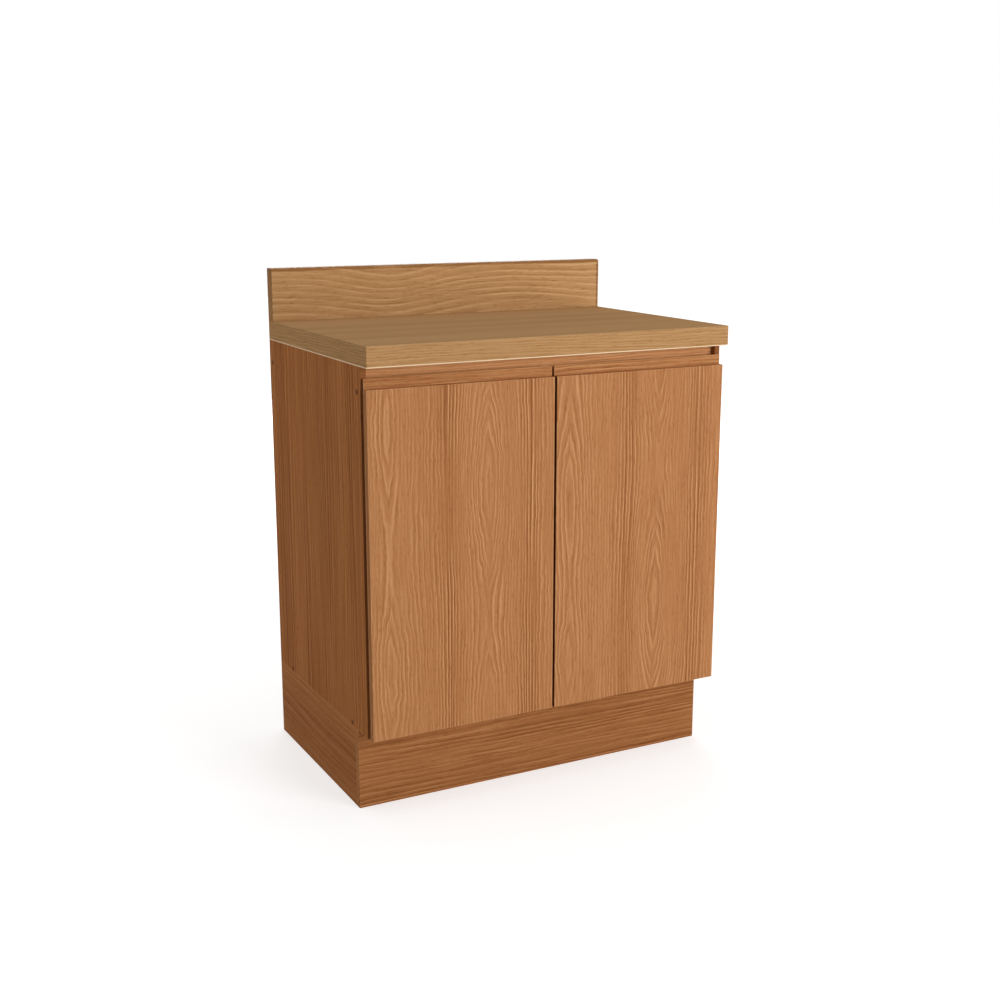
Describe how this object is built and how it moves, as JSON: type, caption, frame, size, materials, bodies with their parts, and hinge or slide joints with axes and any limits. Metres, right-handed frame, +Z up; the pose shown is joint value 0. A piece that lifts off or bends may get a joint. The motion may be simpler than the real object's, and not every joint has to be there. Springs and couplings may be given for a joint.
{
  "type": "kitchen base cabinet",
  "caption": "Free-standing wood-decor kitchen base cabinet: hinged doors with pull strips, inner shelf, set-back plinth, worktop and rear upstand.",
  "frame": {"origin": "on the floor, under the middle of the cabinet's outer box", "axes": "+Z up, +X to the right and -Y out of the doors, as one stands in front of it"},
  "size_m": [0.8, 0.54, 1.035],
  "materials": {
    "upright_decor": "satin wood decor, grain upright",
    "level_decor": "satin wood decor, grain level",
    "worktop_decor": "satin laminate, grain along the width",
    "chipboard": "raw",
    "pale_backing": "matt backing laminate",
    "hardboard": "matt",
    "beech": "raw",
    "hinge_steel": "nickel plated",
    "fastener_steel": "zinc plated",
    "soft_rubber": "matt"
  },
  "bodies": {
    "cabinet": {"back_nails": "fastener_steel", "back_panel": "hardboard", "bottom_panel": "level_decor", "bracket_screws": "fastener_steel", "carcass_screws": "fastener_steel", "door_bumpers": "soft_rubber", "front_top_rail": "level_decor", "hinge_arm_pins": "fastener_steel", "hinge_arm_screws": "fastener_steel", "hinge_plate_screws": "fastener_steel", "left_lower_hinge_arm": "hinge_steel", "left_lower_hinge_plate": "hinge_steel", "left_side_panel": "upright_decor", "left_upper_hinge_arm": "hinge_steel", "left_upper_hinge_plate": "hinge_steel", "plinth_dowels": "beech", "plinth_front": "level_decor", "plinth_left": "level_decor", "plinth_rear": "level_decor", "plinth_right": "level_decor", "plinth_screws": "fastener_steel", "rear_top_rail": "level_decor", "right_lower_hinge_arm": "hinge_steel", "right_lower_hinge_plate": "hinge_steel", "right_side_panel": "upright_decor", "right_upper_hinge_arm": "hinge_steel", "right_upper_hinge_plate": "hinge_steel", "shelf": "level_decor", "shelf_pins": "fastener_steel", "upstand": "worktop_decor", "upstand_screws": "fastener_steel", "worktop_backing": "pale_backing", "worktop_brackets": "fastener_steel", "worktop_core": "chipboard", "worktop_edging": "worktop_decor", "worktop_laminate": "worktop_decor"},
    "left_links": {"left_lower_hinge_link": "hinge_steel", "left_upper_hinge_link": "hinge_steel"},
    "left_leaf": {"left_door": "upright_decor", "left_pull_strip": "level_decor", "left_strip_screws": "fastener_steel", "left_lower_hinge_cup": "hinge_steel", "left_upper_hinge_cup": "hinge_steel", "left_cup_pins": "fastener_steel", "left_cup_screws": "fastener_steel"},
    "right_links": {"right_lower_hinge_link": "hinge_steel", "right_upper_hinge_link": "hinge_steel"},
    "right_leaf": {"right_door": "upright_decor", "right_pull_strip": "level_decor", "right_strip_screws": "fastener_steel", "right_lower_hinge_cup": "hinge_steel", "right_upper_hinge_cup": "hinge_steel", "right_cup_pins": "fastener_steel", "right_cup_screws": "fastener_steel"}
  },
  "joints": [
    {"name": "left_links_turn", "type": "hinge", "parent": "cabinet", "child": "left_links", "pos_m": [-0.37, -0.234, 0.5], "axis": [0, 0, 1], "range_deg": [0, 10.5]},
    {"name": "left_door_swing", "type": "hinge", "parent": "left_links", "child": "left_leaf", "pos_m": [-0.3875, -0.2505, 0.5], "axis": [0, 0, -1], "range_deg": [0, 105]},
    {"name": "right_links_turn", "type": "hinge", "parent": "cabinet", "child": "right_links", "pos_m": [0.37, -0.234, 0.5], "axis": [0, 0, -1], "range_deg": [0, 10.5]},
    {"name": "right_door_swing", "type": "hinge", "parent": "right_links", "child": "right_leaf", "pos_m": [0.3875, -0.2505, 0.5], "axis": [0, 0, 1], "range_deg": [0, 105]}
  ],
  "couplings": [
    {"joint": "left_links_turn", "follows": "left_door_swing", "ratio": 0.1},
    {"joint": "right_links_turn", "follows": "right_door_swing", "ratio": 0.1}
  ]
}
